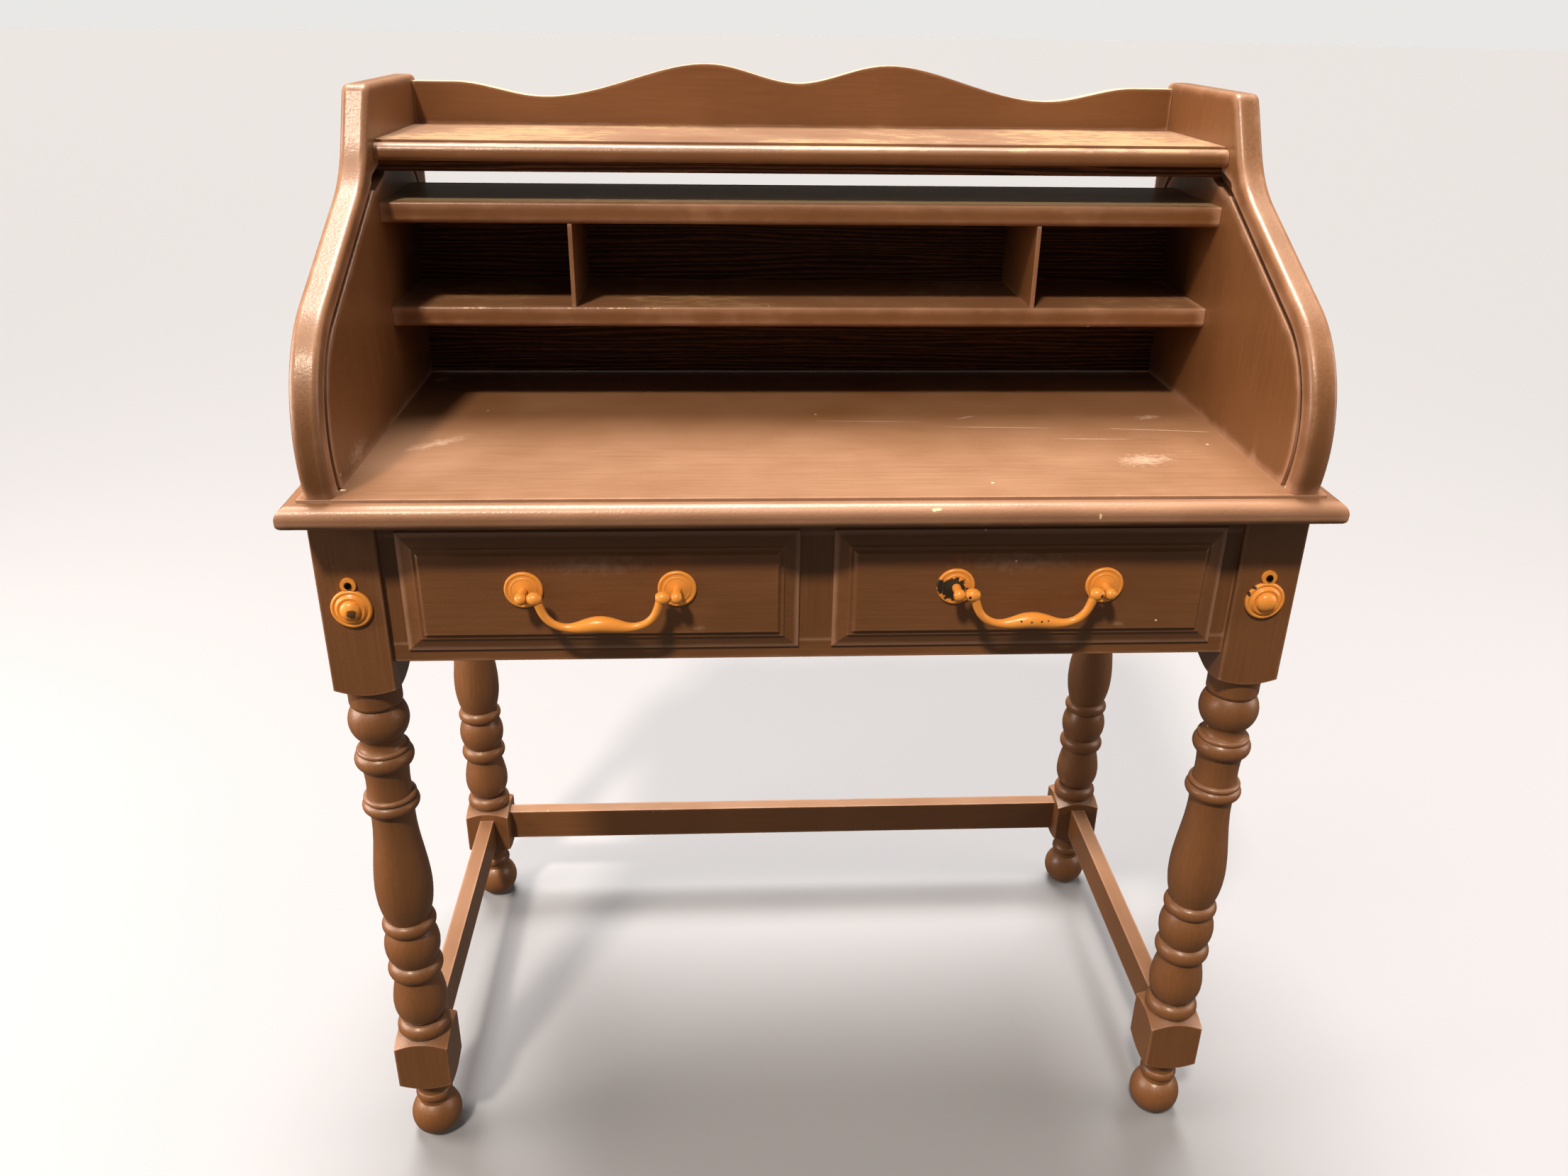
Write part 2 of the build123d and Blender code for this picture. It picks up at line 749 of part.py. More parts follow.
with BuildPart() as side_panel_right:
    with BuildSketch(Plane.YZ.offset(panel_x)) as outline:
        with BuildLine():
            ThreePointArc(foot_of(belly_r, writing_height), on_belly(belly_r, 20), belly_end)
            Line(belly_end, knee)
            Line(knee, top_front)
            Line(top_front, (hutch_back, panel_top))
            Line((hutch_back, panel_top), (hutch_back, writing_height))
            Line((hutch_back, writing_height), foot_of(belly_r, writing_height))
        make_face()
        corner_knee = outline.vertices().sort_by_distance((*knee, 0))[0]
        fillet(corner_knee, neck_r)
        corner_top = outline.vertices().sort_by_distance((*top_front, 0))[0]
        fillet(corner_top, corner_top_r)
    extrude(amount=hutch_panel)
    # rounded over along the front and the top
    flat_edges = side_panel_right.faces().filter_by(Axis.X).edges()
    shaped = flat_edges.filter_by(
        lambda e: e.center().Z > writing_height + 1 and e.center().Y < hutch_back - 1
    )
    fillet(shaped, 5.5)
    # tambour groove in the inner face
    with BuildSketch(Plane.YZ.offset(panel_x)):
        with BuildLine():
            track_path()
        trace(line_width=groove_width)
        # wider mouth just behind the top board's front edge
        with Locations((23, writing_height + 222)):
            SlotCenterToCenter(38, 15, rotation=15)
    extrude(amount=groove_depth, mode=Mode.SUBTRACT)
    # pilot holes for the screws from below
    for y in hutch_screw_y:
        with Locations((hutch_screw_x, y, writing_height)):
            Cylinder(screw_r, 2 * screw_up + 2, mode=Mode.SUBTRACT)
save(side_panel_right.part, "side_panel_right")

with BuildPart() as side_panel_left:
    add(side_panel_right.part)
    mirror(about=Plane.YZ, mode=Mode.REPLACE)
save(side_panel_left.part, "side_panel_left")

with BuildPart() as hutch_screws:
    for x in (-hutch_screw_x, hutch_screw_x):
        for y in hutch_screw_y:
            with BuildSketch(Plane.XY.offset(top_underside)):
                with Locations((x, y)):
                    Circle(screw_head_r)
            with BuildSketch(Plane.XY.offset(top_underside + screw_head_r - screw_r)):
                with Locations((x, y)):
                    Circle(screw_r)
            loft()
            with BuildSketch(Plane.XY.offset(top_underside + screw_head_r - screw_r)):
                with Locations((x, y)):
                    Circle(screw_r)
            extrude(amount=top_thickness + screw_up - screw_head_r + screw_r)
save(hutch_screws.part, "hutch_screws")

# ---------------------------------------------------------------- hutch boards
inner_half = panel_x - shelf_end_gap
board_nose = 12.0
board_nose_arc = 8.0
top_of_board = top_board_z + top_board_thick

with BuildPart() as top_board:
    with BuildSketch(Plane.YZ.offset(-inner_half)):
        with BuildLine():
            nosing_line(top_board_front, -1, top_of_board, top_board_thick, board_nose_arc, board_nose)
            Line((top_board_front + under_arc, top_board_z), (hutch_back, top_board_z))
            Line((hutch_back, top_board_z), (hutch_back, top_of_board))
            Line((hutch_back, top_of_board), (top_board_front + board_nose, top_of_board))
        make_face()
    extrude(amount=2 * inner_half)
save(top_board.part, "top_board")

batten_front = top_board_front + 14
batten_back = batten_front + 20
batten_low = top_board_z - 10
save(
    box_between(-inner_half, inner_half, batten_front, batten_back, batten_low, top_board_z),
    "top_board_batten",
)

# gallery rail: level ends, a dip, a high crest and a small dip in the middle
middle_h = 42.4
crest_x = 82.0
crest_h = 59.6
flank_x = 175.0
flank_h = 44.5
valley_x = 278.0
valley_h = 28.0
rise_x = 345.0
rise_h = 40.4
shoulder_x = 365.0
shoulder_h = 41.0
gallery_front = hutch_back - gallery_thick
gallery_foot = top_of_board
gallery_end_top = gallery_foot + shoulder_h

with BuildPart() as gallery_rail:
    with BuildSketch(Plane.XZ.offset(-gallery_front)):
        with BuildLine():
            Line((-inner_half, gallery_foot), (-inner_half, gallery_end_top))
            Line((-inner_half, gallery_end_top), (-shoulder_x, gallery_end_top))
            Spline(
                (-shoulder_x, gallery_end_top),
                (-rise_x, gallery_foot + rise_h),
                (-valley_x, gallery_foot + valley_h),
                (-flank_x, gallery_foot + flank_h),
                (-crest_x, gallery_foot + crest_h),
                (0, gallery_foot + middle_h),
                (crest_x, gallery_foot + crest_h),
                (flank_x, gallery_foot + flank_h),
                (valley_x, gallery_foot + valley_h),
                (rise_x, gallery_foot + rise_h),
                (shoulder_x, gallery_end_top),
            )
            Line((shoulder_x, gallery_end_top), (inner_half, gallery_end_top))
            Line((inner_half, gallery_end_top), (inner_half, gallery_foot))
            Line((inner_half, gallery_foot), (-inner_half, gallery_foot))
        make_face()
    extrude(amount=-gallery_thick)
save(gallery_rail.part, "gallery_rail")

shelf_top_arris = 2.0
shelf_bottom_arris = 5.0
for z, shelf_name in ((upper_shelf_z, "upper_shelf"), (lower_shelf_z, "lower_shelf")):
    with BuildPart() as shelf:
        with BuildSketch(Plane.XY.offset(z)):
            with Locations((0, (shelf_front + back_face) / 2)):
                Rectangle(2 * inner_half, back_face - shelf_front)
        extrude(amount=board)
        lip = shelf.faces().sort_by(Axis.Y)[0].edges().filter_by(Axis.X).sort_by(Axis.Z)
        fillet(lip[-1], shelf_top_arris)
        lip = shelf.faces().sort_by(Axis.Y)[0].edges().filter_by(Axis.X).sort_by(Axis.Z)
        fillet(lip[0], shelf_bottom_arris)
    save(shelf.part, shelf_name)

for side, side_name in ((-1, "left"), (1, "right")):
    x = side * divider_x
    save(
        box_between(
            x - divider / 2, x + divider / 2, shelf_front + 2, back_face,
            lower_shelf_z + board, upper_shelf_z,
        ),
        f"divider_{side_name}",
    )

back_gap = 1.5
save(
    box_between(
        -inner_half, inner_half, back_face, back_face + back_sheet,
        writing_height + back_gap, upper_shelf_z + board,
    ),
    "back_panel",
)

with BuildPart() as glue_blocks:
    for side in (-1, 1):
        with Locations((side * (inner_half - 7), 117, upper_shelf_z - 6.5)):
            Box(14, 24, 13)
save(glue_blocks.part, "glue_blocks")
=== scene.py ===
"""Finishes and studio stage for a painted roll top desk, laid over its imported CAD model."""

import math

import bmesh
import bpy
from bpy.props import FloatProperty, FloatVectorProperty, PointerProperty
from mathutils import Matrix, Vector


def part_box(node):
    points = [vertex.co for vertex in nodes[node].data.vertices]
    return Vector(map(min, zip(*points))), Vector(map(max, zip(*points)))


bl_info = {
    "name": "Roll Top Desk Finishes",
    "version": (1, 0, 0),
    "blender": (4, 5, 0),
    "location": "3D View > Sidebar > Roll Top Desk",
    "description": "Paints the desk, its hardware and its inside, and sets up a studio stage",
    "category": "Object",
}

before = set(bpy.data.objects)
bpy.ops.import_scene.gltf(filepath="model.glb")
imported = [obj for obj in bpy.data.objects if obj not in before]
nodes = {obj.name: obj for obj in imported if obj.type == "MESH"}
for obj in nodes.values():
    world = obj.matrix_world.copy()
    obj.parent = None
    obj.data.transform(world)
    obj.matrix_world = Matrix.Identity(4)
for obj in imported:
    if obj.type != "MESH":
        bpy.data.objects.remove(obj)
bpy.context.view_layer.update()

X, Y, Z = 0, 1, 2
SIDES = ("left", "right")
MM = 0.001
WAVE_RATE = 20.0  # radians that a Wave texture of Scale 1 turns through in a metre

# Stage: directions towards the far lamps, places of the near ones, and sizes in metres
FRONT_LAMP_TOWARDS = (-0.24, -0.54, 0.81)
FRONT_LAMP_SPREAD = 6
OVERHEAD_LAMP_TOWARDS = (-0.05, 0.32, 0.95)
OVERHEAD_LAMP_SPREAD = 30
LEFT_LAMP_PLACE = (-2.3, -0.2, 1.35)
RIGHT_LAMP_PLACE = (2.3, -0.2, 1.35)
SIDE_LAMP_SIZE = 1.6
DESK_MIDDLE = (0, 0, 0.8)
FLOOR_RADIUS = 60.0
BACKDROP_RADIUS = 59.0

ROSETTE_RADIUS = 17  # mm, of the handles' backplates


def linear(hex_colour):
    """An sRGB hex colour as linear red, green and blue."""
    channels = [int(hex_colour[i : i + 2], 16) / 255 for i in (1, 3, 5)]
    return [c / 12.92 if c <= 0.04045 else ((c + 0.055) / 1.055) ** 2.4 for c in channels]


def colour(name, description, hex_colour):
    """A colour property with that sRGB default."""
    default = linear(hex_colour)
    return FloatVectorProperty(
        name=name, description=description, subtype="COLOR", size=3, min=0, max=1, default=default
    )


def length(name, description, millimetres):
    """A length property whose default is given in millimetres."""
    return FloatProperty(
        name=name, description=description, unit="LENGTH", precision=5, default=millimetres * MM
    )


def rgba(three):
    """A property colour with full alpha, as colour sockets want it."""
    return (*three, 1.0)


def per_metre(size):
    """The Scale of a noise whose features are about that size, in metres."""
    return 1.0 / size


class DeskPaint(bpy.types.PropertyGroup):
    """The brushed furniture paint, how it has worn, and the highlight, sheen and shade painted into it.
    """

    coat: colour("Paint", "The satin milk chocolate paint", "#704926")
    coat_thin: colour("Thin paint", "Paint where the brush left it thin", "#7c522f")
    # The rubbed edge colour is worn paint and also a painted highlight along the arrises and the nose.
    rubbed_and_highlight: colour("Rubbed edge", "Paint polished pale along the arrises", "#b48c72")
    undercoat: colour("Undercoat", "Cream undercoat in the chips", "#ecd6ae")
    scuff: colour("Scuff", "Chalky grey scuff on the writing surface", "#c9b3a0")
    worn_through: colour("Worn through", "Tan old varnish under worn paint", "#c4a877")
    # The dust colour is settled dust and also a painted sheen that whitens the level faces.
    dust_and_sheen: colour("Dust", "Fine pale dust rubbed into the level faces", "#c9ae98")
    # The grime colour is also painted shade: it darkens creases and corners found by occlusion.
    grime_and_shade: colour("Grime", "Dirt in the quirks and corners", "#2a170d")
    bristle: length("Bristle mark", "Spacing of the brush marks, drawn coarse enough to show", 2.2)
    pebble: length("Pebble", "Spacing of the leathery pebble in the thick paint", 2.6)
    arris: length("Arris", "Radius that sanding and paint give each sharp edge", 1.0)
    rub_and_highlight_reach: length("Wear reach", "How far from an edge the paint is rubbed", 4.0)


class DeskTimber(bpy.types.PropertyGroup):
    """The timber that was left unpainted."""

    stain_dark: colour("Stain", "Dark oak stain on the back panel", "#331c0f")
    stain_light: colour("Stain figure", "The paler figure in the stained oak", "#74492a")
    dull: colour("Dull varnish", "Grimy old varnish behind the paint", "#94805f")
    pale: colour("Pale wood", "Sapwood of the drawer boxes and runners", "#b08c66")
    pale_dark: colour("Pale wood figure", "Late wood of the drawer boxes", "#9a774f")
    block: colour("Glue block", "Orange shellac on the glue blocks", "#a8642e")
    grain_width: length("Grain width", "Spacing of the figure of the oak", 4.5)


class DeskHardware(bpy.types.PropertyGroup):
    """The painted cast metal of the handles and bolt covers."""

    coat: colour("Enamel", "The orange enamel", "#ed9e44")
    # The deep enamel colour is pooled enamel and also painted shade in the hollows.
    coat_deep_and_shade: colour("Deep enamel", "Enamel pooled in the hollows", "#bf6f20")
    bare: colour("Bare metal", "Blackened brass under the chips", "#2e2416")
    brass: colour("Old brass", "Khaki brass where the chip is fresh", "#5f4520")
    steel: colour("Steel", "Zinc plated steel of the hidden screws", "#a9a9a6")
    peel: length("Peel", "Size of the ripples in the brushed enamel", 2.5)


class DeskStage(bpy.types.PropertyGroup):
    """Floor, lights and camera."""

    floor: colour("Floor", "The pale floor", "#878c94")
    backdrop: colour("Backdrop", "The pale backdrop all round", "#e9e8e6")
    sky: colour("Room", "The light that the room itself gives", "#fff4e8")
    key_tint: colour("Key tint", "Tint of the lamp in front", "#ffe9d2")
    top_tint: colour("Overhead tint", "Tint of the lamp overhead", "#fff3e6")
    side_tint: colour("Side tint", "Tint of the two side lamps", "#ffe9da")
    room_light: FloatProperty(name="Room light", description="Strength of the room", default=0.13)
    key_light: FloatProperty(name="Key", description="Front lamp, in W/m2", default=3.1)
    top_light: FloatProperty(name="Overhead", description="Overhead lamp, in W/m2", default=7.6)
    left_power: FloatProperty(name="Left", description="Left soft lamp, in watts", default=72)
    right_power: FloatProperty(name="Right", description="Right soft lamp, in watts", default=28)
    lens: FloatProperty(name="Lens", description="Focal length in mm", default=28.09)
    yaw: FloatProperty(name="Yaw", description="Turn about Z", subtype="ANGLE", default=-0.0536)
    pitch: FloatProperty(name="Pitch", description="Tilt", subtype="ANGLE", default=-0.4433)
    roll: FloatProperty(name="Roll", description="Roll", subtype="ANGLE", default=0.0144)
    eye: FloatVectorProperty(
        name="Eye", description="Place of the camera", unit="LENGTH", default=(-0.0812, -1.1863, 1.1408)
    )


def add(tree, kind, inputs=None, **settings):
    """Adds a node with its settings, and its inputs as values or as links from other sockets."""
    node = tree.nodes.new(kind)
    for name, value in settings.items():
        setattr(node, name, value)
    for socket, value in (inputs or {}).items():
        if isinstance(value, bpy.types.NodeSocket):
            tree.links.new(value, node.inputs[socket])
        else:
            node.inputs[socket].default_value = value
    return node


def new_finish(name, roughness, ior=1.5):
    """An empty node material with its Principled shader."""
    material = bpy.data.materials.new(name)
    material.use_nodes = True
    tree = material.node_tree
    tree.nodes.clear()
    shader = add(tree, "ShaderNodeBsdfPrincipled", {"Roughness": roughness, "IOR": ior})
    add(tree, "ShaderNodeOutputMaterial", {"Surface": shader.outputs[0]})
    return material, tree, shader


def coat_node(name, material):
    """Gives a CAD node its finish."""
    for holder in nodes[name].material_slots:
        holder.material = material


def mark(tree, place, centre, size, turn=0.0, ragged=0.35, grit=4.0, soft=0.3):
    """Mask of one worn spot: an ellipsoid of that centre and half size in mm, turned in degrees
    about Z, its edge broken by noise of grit mm and faded over a share soft of its size."""
    in_spot = add(
        tree,
        "ShaderNodeMapping",
        {
            "Vector": place,
            "Location": [c * MM for c in centre],
            "Rotation": (0, 0, math.radians(turn)),
            "Scale": [s * MM for s in size],
        },
        vector_type="TEXTURE",
    )
    distance = add(tree, "ShaderNodeVectorMath", {0: in_spot.outputs[0]}, operation="LENGTH")
    noise = add(
        tree, "ShaderNodeTexNoise", {"Vector": place, "Scale": per_metre(grit * MM), "Detail": 3.0}
    )
    broken = add(
        tree,
        "ShaderNodeMath",
        {0: noise.outputs["Fac"], 1: ragged * 4, 2: distance.outputs["Value"]},
        operation="MULTIPLY_ADD",
    )
    edge = 1.0 + ragged * 2
    return add(
        tree,
        "ShaderNodeMapRange",
        {0: broken.outputs[0], 1: edge, 2: edge - soft, 3: 0.0, 4: 1.0},
    ).outputs[0]


def any_of(tree, masks):
    """The strongest of several masks."""
    together = masks[0]
    for mask in masks[1:]:
        together = add(tree, "ShaderNodeMath", {0: together, 1: mask}, operation="MAXIMUM").outputs[0]
    return together


def rubbed_and_highlit_edges(tree, place, reach, start=0.2, full=0.5):
    """Mask that is strong on outward edges, where hands and cloths rub and where a painted highlight
    runs along the arris, broken up by noise.
    """
    inside = add(
        tree, "ShaderNodeAmbientOcclusion", {"Distance": reach}, samples=6, inside=True, only_local=True
    )
    noise = add(tree, "ShaderNodeTexNoise", {"Vector": place, "Scale": per_metre(0.03), "Detail": 5.0})
    bare = add(tree, "ShaderNodeMath", {0: 1.0, 1: inside.outputs["AO"]}, operation="SUBTRACT")
    broken = add(
        tree,
        "ShaderNodeMath",
        {0: noise.outputs["Fac"], 1: 0.5, 2: bare.outputs[0]},
        operation="MULTIPLY_ADD",
    )
    return add(
        tree, "ShaderNodeMapRange", {0: broken.outputs[0], 1: start + 0.25, 2: full + 0.25}
    ).outputs[0]


# Furniture paint brushed over varnished oak: a soft sheen, lengthwise brush marks that catch the light,
# arrises worn pale with a painted highlight along them, pale dust with a painted sheen on the level
# faces, and grime with painted shade in the quirks.
def brushed_paint(
    name,
    along,
    chips=(),
    scuffs=(),
    scuffed=0.55,
    rubbed_top=0.0,
    bare=None,
    wear_and_highlight=1.0,
    reach=1.0,
    dust_and_sheen_amount=1.0,
):
    """Satin paint brushed along an axis. Chips show undercoat and scuffs are chalky; rubbed_top
    wears the upward faces to old varnish; bare adds a stretch of another finish, or a painted
    highlight, as a mask and a colour; wear_and_highlight and reach scale how strongly and how far
    in from the arrises the paint turns pale, as worn paint and as a painted highlight, and
    dust_and_sheen_amount how strongly its upward faces are paled, as what has settled on them and as a
    painted sheen."""
    paint = bpy.context.scene.desk_paint
    material, tree, shader = new_finish(name, roughness=0.4)
    shader.inputs["Coat Weight"].default_value = 0.3
    shader.inputs["Coat Roughness"].default_value = 0.24
    coordinates = add(tree, "ShaderNodeTexCoord")
    place = coordinates.outputs["Object"]
    stretch = [1.0, 1.0, 1.0]
    stretch[along] = 0.035
    along_board = add(tree, "ShaderNodeMapping", {"Vector": place, "Scale": stretch}).outputs[0]
    bristles = add(
        tree,
        "ShaderNodeTexNoise",
        {"Vector": along_board, "Scale": per_metre(paint.bristle), "Detail": 3.0, "Roughness": 0.6},
    )
    pebbles = add(
        tree, "ShaderNodeTexNoise", {"Vector": place, "Scale": per_metre(paint.pebble), "Detail": 2.0}
    )
    clouds = add(
        tree, "ShaderNodeTexNoise", {"Vector": place, "Scale": per_metre(0.12), "Detail": 4.0}
    )
    thin = add(
        tree,
        "ShaderNodeMath",
        {0: clouds.outputs["Fac"], 1: bristles.outputs["Fac"]},
        operation="MULTIPLY",
    )
    thinness = add(tree, "ShaderNodeMapRange", {0: thin.outputs[0], 1: 0.12, 2: 0.45})
    colour_now = add(
        tree,
        "ShaderNodeMix",
        {0: thinness.outputs[0], 6: rgba(paint.coat), 7: rgba(paint.coat_thin)},
        data_type="RGBA",
    ).outputs[2]

    normal = add(tree, "ShaderNodeSeparateXYZ", {0: coordinates.outputs["Normal"]})
    upward = add(tree, "ShaderNodeMapRange", {0: normal.outputs["Z"], 1: 0.5, 2: 0.98})
    # Pale colour on the upward faces: settled dust, and a painted sheen that lightens the tops.
    settled = add(
        tree,
        "ShaderNodeMapRange",
        {0: clouds.outputs["Fac"], 1: 0.3, 2: 0.7, 3: 0.05 * dust_and_sheen_amount, 4: 0.15 * dust_and_sheen_amount},
    )
    dust_and_sheen_share = add(
        tree, "ShaderNodeMath", {0: settled.outputs[0], 1: upward.outputs[0]}, operation="MULTIPLY"
    )
    colour_now = add(
        tree,
        "ShaderNodeMix",
        {0: dust_and_sheen_share.outputs[0], 6: colour_now, 7: rgba(paint.dust_and_sheen)},
        data_type="RGBA",
    ).outputs[2]
    if rubbed_top:
        smear = [1.0, 1.0, 1.0]
        smear[along] = 0.3
        smeared = add(tree, "ShaderNodeMapping", {"Vector": place, "Scale": smear})
        streaks = add(
            tree,
            "ShaderNodeTexNoise",
            {"Vector": smeared.outputs[0], "Scale": per_metre(0.008), "Detail": 6.0, "Distortion": 1.2},
        )
        patches = add(
            tree,
            "ShaderNodeMath",
            {0: streaks.outputs["Fac"], 1: clouds.outputs["Fac"]},
            operation="MULTIPLY",
        )
        worn = add(
            tree, "ShaderNodeMapRange", {0: patches.outputs[0], 1: 0.3, 2: 0.325, 3: 0.0, 4: rubbed_top}
        )
        through = add(
            tree, "ShaderNodeMath", {0: worn.outputs[0], 1: upward.outputs[0]}, operation="MULTIPLY"
        )
        colour_now = add(
            tree,
            "ShaderNodeMix",
            {0: through.outputs[0], 6: colour_now, 7: rgba(paint.worn_through)},
            data_type="RGBA",
        ).outputs[2]

    # Arrises turned pale: worn paint, and a painted highlight along the edges.
    edges = rubbed_and_highlit_edges(tree, place, paint.rub_and_highlight_reach * reach)
    edge_wear_and_highlight = add(tree, "ShaderNodeMath", {0: edges, 1: 0.6 * wear_and_highlight}, operation="MULTIPLY")
    colour_now = add(
        tree,
        "ShaderNodeMix",
        {0: edge_wear_and_highlight.outputs[0], 6: colour_now, 7: rgba(paint.rubbed_and_highlight)},
        data_type="RGBA",
    ).outputs[2]

    # Darker in the quirks and corners: grime, and painted shade laid where occlusion finds a crease.
    corner = add(
        tree, "ShaderNodeAmbientOcclusion", {"Distance": 0.006}, samples=6, only_local=True
    )
    grime_and_shade_share = add(tree, "ShaderNodeMapRange", {0: corner.outputs["AO"], 1: 0.75, 2: 0.35, 3: 0.0, 4: 0.75})
    colour_now = add(
        tree,
        "ShaderNodeMix",
        {0: grime_and_shade_share.outputs[0], 6: colour_now, 7: rgba(paint.grime_and_shade)},
        data_type="RGBA",
    ).outputs[2]

    if bare:
        mask, bare_colour = bare(tree, place)
        colour_now = add(
            tree, "ShaderNodeMix", {0: mask, 6: colour_now, 7: bare_colour}, data_type="RGBA"
        ).outputs[2]

    specks = add(
        tree, "ShaderNodeTexVoronoi", {"Vector": place, "Scale": per_metre(0.06), "Randomness": 1.0}
    )
    speck = add(
        tree, "ShaderNodeMapRange", {0: specks.outputs["Distance"], 1: 0.025, 2: 0.012}
    ).outputs[0]
    chip_masks = [speck] + [mark(tree, place, *chip) for chip in chips]
    colour_now = add(
        tree,
        "ShaderNodeMix",
        {0: any_of(tree, chip_masks), 6: colour_now, 7: rgba(paint.undercoat)},
        data_type="RGBA",
    ).outputs[2]
    if scuffs:
        chalky = any_of(tree, [mark(tree, place, *scuff) for scuff in scuffs])
        chalk = add(tree, "ShaderNodeMath", {0: chalky, 1: scuffed}, operation="MULTIPLY")
        colour_now = add(
            tree,
            "ShaderNodeMix",
            {0: chalk.outputs[0], 6: colour_now, 7: rgba(paint.scuff)},
            data_type="RGBA",
        ).outputs[2]

    sheen = add(
        tree, "ShaderNodeMapRange", {0: bristles.outputs["Fac"], 1: 0.3, 2: 0.7, 3: 0.42, 4: 0.56}
    )
    height = add(
        tree,
        "ShaderNodeMath",
        {0: bristles.outputs["Fac"], 1: 0.5, 2: pebbles.outputs["Fac"]},
        operation="MULTIPLY_ADD",
    )
    arris = add(tree, "ShaderNodeBevel", {"Radius": paint.arris}, samples=4)
    relief = add(
        tree,
        "ShaderNodeBump",
        {
            "Strength": 0.5,
            "Distance": 0.35 * MM,
            "Height": height.outputs[0],
            "Normal": arris.outputs[0],
        },
    )
    tree.links.new(colour_now, shader.inputs["Base Color"])
    tree.links.new(sheen.outputs[0], shader.inputs["Roughness"])
    tree.links.new(relief.outputs[0], shader.inputs["Normal"])
    tree.links.new(relief.outputs[0], shader.inputs["Coat Normal"])
    return material


# Open grained oak or sapwood, planed and either stained or left bare: cathedral figure along the
# board, fine pores across it, a dull surface.
def planed_timber(name, along, dark, light, grain_width, roughness=0.6):
    """Timber whose figure runs along an axis, between two colours."""
    material, tree, shader = new_finish(name, roughness, ior=1.3)
    place = add(tree, "ShaderNodeTexCoord").outputs["Object"]
    stretch = [1.0, 1.0, 1.0]
    stretch[along] = 0.06
    along_board = add(tree, "ShaderNodeMapping", {"Vector": place, "Scale": stretch}).outputs[0]
    wander = add(
        tree, "ShaderNodeTexNoise", {"Vector": along_board, "Scale": per_metre(0.02), "Detail": 3.0}
    )
    pushed = add(
        tree,
        "ShaderNodeVectorMath",
        {0: wander.outputs["Color"], 1: (0.02, 0.02, 0.02), 2: along_board},
        operation="MULTIPLY_ADD",
    )
    figure = add(
        tree,
        "ShaderNodeTexWave",
        {"Vector": pushed.outputs[0], "Scale": math.tau / (WAVE_RATE * grain_width),
         "Distortion": 3.0, "Detail": 3.0, "Detail Scale": 1.5},
        bands_direction="XYZ"[along] if along != X else "Z",
    )
    pores = add(
        tree,
        "ShaderNodeTexNoise",
        {"Vector": along_board, "Scale": per_metre(grain_width / 5), "Detail": 2.0},
    )
    grain = add(
        tree,
        "ShaderNodeMath",
        {0: figure.outputs["Fac"], 1: pores.outputs["Fac"]},
        operation="MULTIPLY",
    )
    share = add(tree, "ShaderNodeMapRange", {0: grain.outputs[0], 1: 0.1, 2: 0.6})
    tint = add(
        tree, "ShaderNodeMix", {0: share.outputs[0], 6: rgba(dark), 7: rgba(light)}, data_type="RGBA"
    )
    relief = add(
        tree,
        "ShaderNodeBump",
        {"Strength": 0.4, "Distance": 0.3 * MM, "Height": grain.outputs[0]},
    )
    tree.links.new(tint.outputs[2], shader.inputs["Base Color"])
    tree.links.new(relief.outputs[0], shader.inputs["Normal"])
    return material


# Orange enamel brushed over cast brass: glossy with soft ripples, deeper where it pooled and darker in
# the hollows as painted shade, chipped to near black metal where knocked.
def enamelled_brass(name, chips=(), fresh=()):
    """Brushed enamel on cast brass. Chips show blackened metal, fresh ones khaki brass."""
    hardware = bpy.context.scene.desk_hardware
    material, tree, shader = new_finish(name, roughness=0.3)
    place = add(tree, "ShaderNodeTexCoord").outputs["Object"]
    ripples = add(
        tree, "ShaderNodeTexNoise", {"Vector": place, "Scale": per_metre(hardware.peel), "Detail": 2.0}
    )
    # Darker in the hollows: pooled enamel, and painted shade found by occlusion.
    hollow = add(tree, "ShaderNodeAmbientOcclusion", {"Distance": 2.5 * MM}, samples=6)
    pooled_and_shaded = add(
        tree, "ShaderNodeMapRange", {0: hollow.outputs["AO"], 1: 0.7, 2: 0.2, 3: 0.0, 4: 0.45}
    )
    colour_now = add(
        tree,
        "ShaderNodeMix",
        {0: pooled_and_shaded.outputs[0], 6: rgba(hardware.coat), 7: rgba(hardware.coat_deep_and_shade)},
        data_type="RGBA",
    ).outputs[2]
    metal = None
    for spots, metal_colour in ((chips, hardware.bare), (fresh, hardware.brass)):
        if spots:
            lost = any_of(tree, [mark(tree, place, *spot) for spot in spots])
            colour_now = add(
                tree, "ShaderNodeMix", {0: lost, 6: colour_now, 7: rgba(metal_colour)}, data_type="RGBA"
            ).outputs[2]
            metal = any_of(tree, [metal, lost]) if metal else lost
    depth = ripples.outputs["Fac"]
    if metal:
        depth = add(
            tree, "ShaderNodeMath", {0: metal, 1: -1.5, 2: depth}, operation="MULTIPLY_ADD"
        ).outputs[0]
        dull = add(tree, "ShaderNodeMapRange", {0: metal, 3: 0.3, 4: 0.6})
        tree.links.new(dull.outputs[0], shader.inputs["Roughness"])
    relief = add(
        tree, "ShaderNodeBump", {"Strength": 0.4, "Distance": 0.2 * MM, "Height": depth}
    )
    tree.links.new(colour_now, shader.inputs["Base Color"])
    tree.links.new(relief.outputs[0], shader.inputs["Normal"])
    return material


